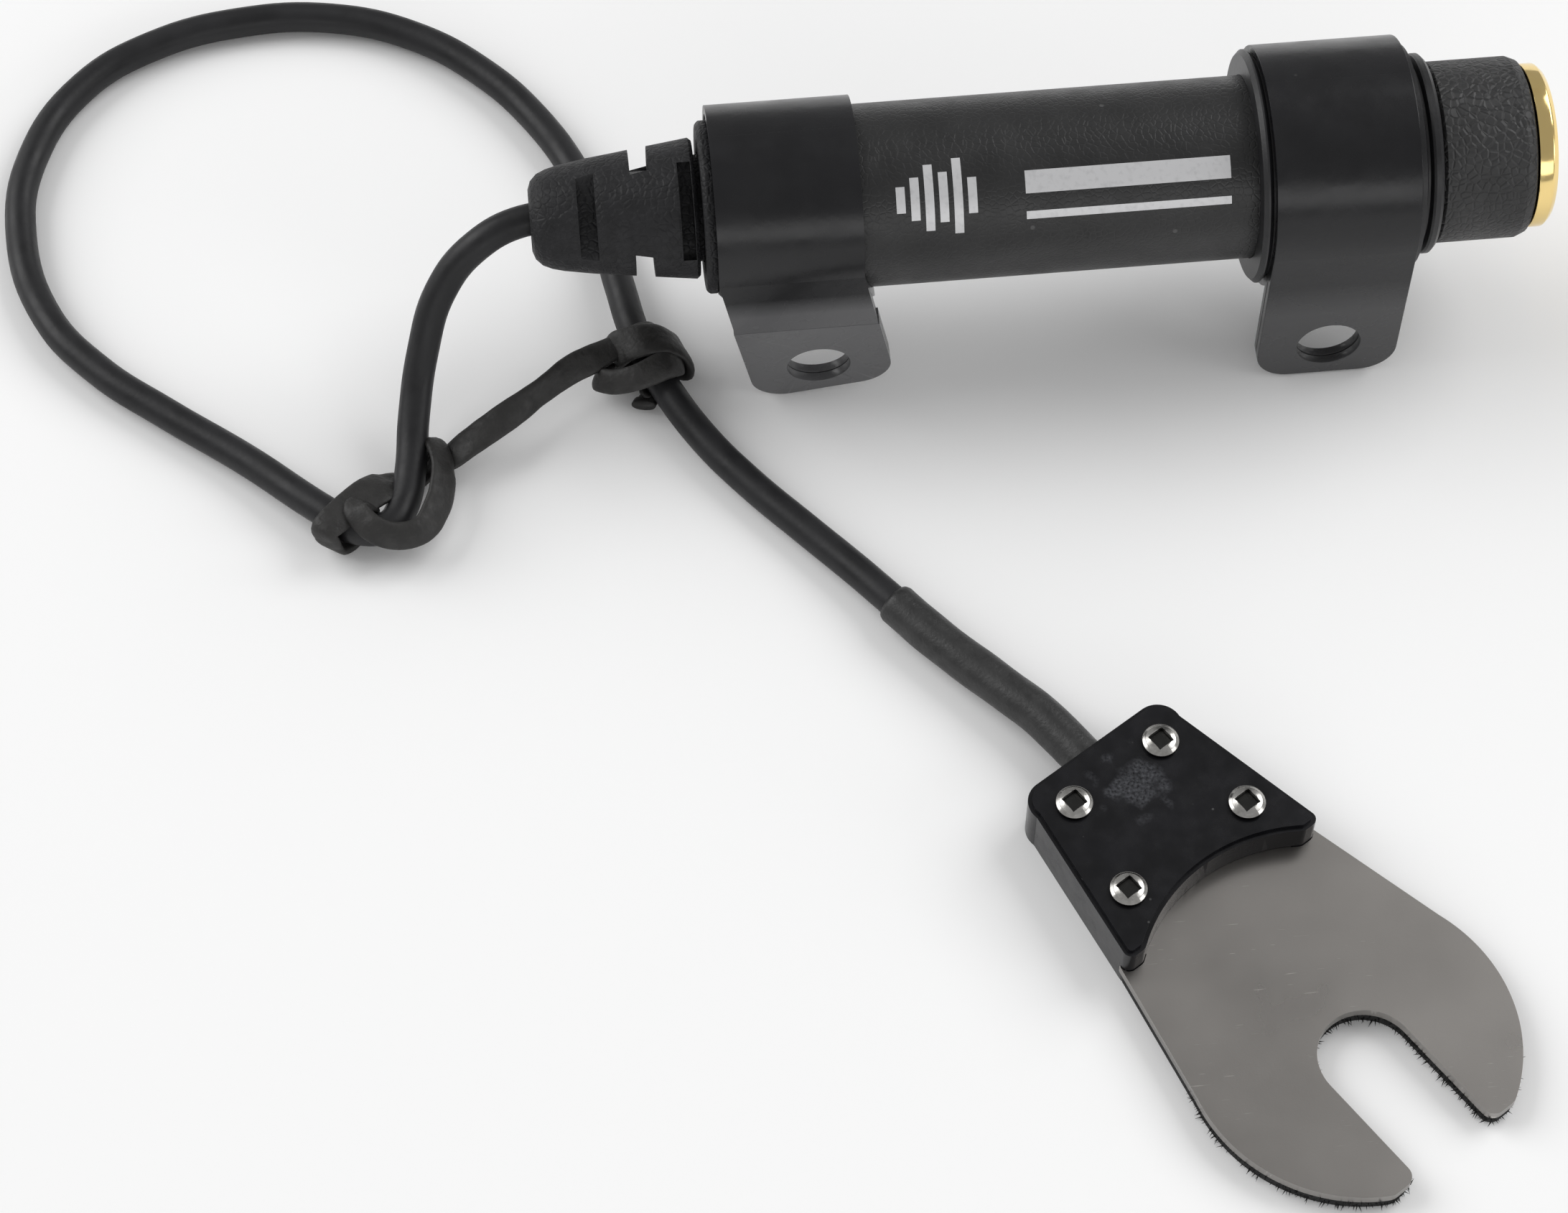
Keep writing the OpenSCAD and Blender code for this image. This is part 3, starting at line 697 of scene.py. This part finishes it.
def make_lace():
    """The flat lace as one strip from its hidden end in the first knot to its tail in the second."""
    steps = 6
    line = smooth_line(on_table([place for place, _, _ in LACE_STATIONS]), steps)
    looks = smooth_line([Vector(look) for _, look, _ in LACE_STATIONS], steps)
    widths = smooth_line([Vector((wide, 0, 0)) for _, _, wide in LACE_STATIONS], steps)
    sides = 20
    rings = []
    for i, place in enumerate(line):
        along = direction(line, i)
        up = (looks[i] - along * looks[i].dot(along)).normalized()
        side = along.cross(up)
        half_w = widths[i].x / 2 * MM
        half_t = LACE_T / 2 * MM
        ring = []
        for j in range(sides):
            turn = 2 * math.pi * j / sides
            across = math.copysign(abs(math.cos(turn)) ** 0.7, math.cos(turn)) * half_w
            rise = math.copysign(abs(math.sin(turn)) ** 0.8, math.sin(turn)) * half_t
            point = place + side * across + up * rise
            point += up * noise.noise(point * 700) * LACE_UNEVEN * MM
            point.z = max(point.z, TABLE_GAP * MM)
            ring.append(point)
        rings.append(ring)
    vertices, faces = skin(rings)
    lace = new_piece("lace_tie", vertices, faces, MATERIALS["lace"])
    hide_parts("lace_knot_1", "lace_span", "lace_knot_2")
    return lace, line


lace_piece, lace_line = make_lace()

# ---- fibres ----


FIBRE_R = 0.09           # millimetres
FIBRE_ROOT = 0.2         # how far inside the pad a fibre starts
BARE_SHARE = 0.25        # share of the places that have no fibre
TIP_CORNER = 0.4         # a tip's end is flat from this far outside the slot
TIP_FLAT = 1.8           # and over this width


def turns(count, start, sweep):
    """Evenly spaced directions of an arc, given in degrees."""
    return [math.radians(start + sweep * step / (count - 1)) for step in range(count)]


def pad_edges():
    """Places along the pad's edge with the way out from each: (u, k, outward u, outward k)."""
    places = []
    for turn in turns(200, -115, 88) + turns(60, 30, 80):
        out_u = math.cos(turn)
        out_k = math.sin(turn)
        places.append((FORK_U + FORK_R * out_u, FORK_R * out_k, out_u, out_k))
    for turn in turns(60, 90, 180):
        out_u = math.cos(turn)
        out_k = math.sin(turn)
        places.append((SLOT_U + SLOT_R * out_u, SLOT_R * out_k, -out_u, -out_k))
    for side, count in ((1, 110), (-1, 40)):
        for step in range(count):
            places.append((SLOT_U + (TIP_U - SLOT_U) * step / count, side * SLOT_R, 0, -side))
        for step in range(24):
            places.append((TIP_U - 0.1, side * (SLOT_R + TIP_CORNER + TIP_FLAT * step / 23), 1, 0))
    return places


def make_fibres():
    """Loose ends of the pad's fibres that stick out from under the metal fork."""
    chance = random.Random(4)
    vertices = []
    faces = []
    for u, k, out_u, out_k in pad_edges():
        if chance.random() < BARE_SHARE:
            continue
        length = chance.uniform(0.1, 0.55)
        lean = chance.uniform(-0.7, 0.7)
        low = chance.uniform(0.15, PAD_T - 0.1)
        drop = chance.uniform(-0.4, 0.25)
        tip_z = max(0.05, low + drop)
        root = on_sensor(u - FIBRE_ROOT * out_u, k - FIBRE_ROOT * out_k, low)
        tip = on_sensor(u + length * (out_u - lean * out_k), k + length * (out_k + lean * out_u), tip_z)
        along = (tip - root).normalized()
        side = along.cross(Vector((0, 0, 1))).normalized()
        up = side.cross(along)
        start = len(vertices)
        for turn in (90, 210, 330):
            spread = math.cos(math.radians(turn)) * side + math.sin(math.radians(turn)) * up
            vertices.append(root + spread * FIBRE_R * MM)
        vertices.append(tip)
        faces += [
            (start, start + 1, start + 3),
            (start + 1, start + 2, start + 3),
            (start + 2, start, start + 3),
            (start + 2, start + 1, start),
        ]
    return new_piece("pad_fibres", vertices, faces, MATERIALS["pad"])


make_fibres()

# ---- printed marks ----

PRINT_T = 0.015          # millimetres
PRINT_TURN = 48          # degrees from level to the middle of the print, round the barrel
PRINT_STEP = 0.4         # millimetres between a print's points round the barrel
BAR_HEIGHTS = (2.2, 3.6, 5.6, 4.2, 6.4, 3.0)
BARS_X = -12.8
BAR_STEP = 1.2
BAR_W = 0.75
STRIPES_X = (-2, 15.2)


def barrel_patch(name, x_from, x_to, low, high):
    """A thin printed patch on the barrel, low to high millimetres round it from the middle of its front."""
    print_r = TUBE_R + PRINT_T
    middle = math.radians(PRINT_TURN)
    across = max(2, int((high - low) / PRINT_STEP))
    along = 2
    vertices = []
    for i in range(along + 1):
        x = x_from + (x_to - x_from) * i / along
        for j in range(across + 1):
            turn = middle + (low + (high - low) * j / across) / TUBE_R
            vertices.append(
                Vector((x, BARREL_Y - print_r * math.cos(turn), BARREL_Z + print_r * math.sin(turn))) * MM
            )
    row = across + 1
    faces = [
        (i * row + j, (i + 1) * row + j, (i + 1) * row + j + 1, i * row + j + 1)
        for i in range(along)
        for j in range(across)
    ]
    return new_piece(name, vertices, faces, MATERIALS["silver"])


# a plain level meter of upright bars, and two plain stripes
for index, height in enumerate(BAR_HEIGHTS):
    left = BARS_X + BAR_STEP * index
    barrel_patch(f"print_bar_{index + 1}", left, left + BAR_W, -height / 2, height / 2)
barrel_patch("print_stripe_wide", *STRIPES_X, -0.2, 1.7)
barrel_patch("print_stripe_thin", *STRIPES_X, -2.4, -1.7)

# ---- floor, light ----

FLOOR = 3.0              # metres from the middle to each side
FLOOR_DROP = 0.05        # millimetres under the table height, clear of the object's faces
WORLD_STRENGTH = 0.38

floor_mesh = bpy.data.meshes.new("floor")
floor_mesh.from_pydata(
    [(-FLOOR, -FLOOR, 0), (FLOOR, -FLOOR, 0), (FLOOR, FLOOR, 0), (-FLOOR, FLOOR, 0)], [], [(0, 1, 2, 3)]
)
floor = bpy.data.objects.new("floor", floor_mesh)
floor.location = (0, 0, -FLOOR_DROP * MM)
bpy.context.scene.collection.objects.link(floor)
floor_surface = Surface("floor_pale", (0.97, 0.97, 0.97), 0.8)
floor_mesh.materials.append(floor_surface.material)


def area_light(name, place, aim, size, power):
    """A rectangular light; its place, aim and size are in metres and its power in watts."""
    data = bpy.data.lights.new(name, "AREA")
    data.shape = "RECTANGLE"
    data.size, data.size_y = size
    data.energy = power
    light = bpy.data.objects.new(name, data)
    light.location = place
    light.rotation_euler = (Vector(aim) - Vector(place)).to_track_quat("-Z", "Y").to_euler()
    bpy.context.scene.collection.objects.link(light)


area_light("softbox_left", (-0.95, 0.45, 0.75), (0, 0, 0), (1.0, 1.0), 8.9)
area_light("softbox_right", (0.9, 0.45, 0.85), (0, 0, 0), (0.9, 0.9), 7.5)
area_light("front_low", (0, -1.1, 0.4), (0, 0, 0), (1.4, 0.4), 2.6)
area_light("card_right", (0.55, -0.2, 0.2), (0.04, 0.04, 0.02), (0.25, 0.2), 0.5)

world = bpy.data.worlds.new("world")
world.use_nodes = True
world.node_tree.nodes["Background"].inputs["Color"].default_value = (1, 1, 1, 1)
world.node_tree.nodes["Background"].inputs["Strength"].default_value = WORLD_STRENGTH
bpy.context.scene.world = world
bpy.context.scene.view_settings.view_transform = "Standard"
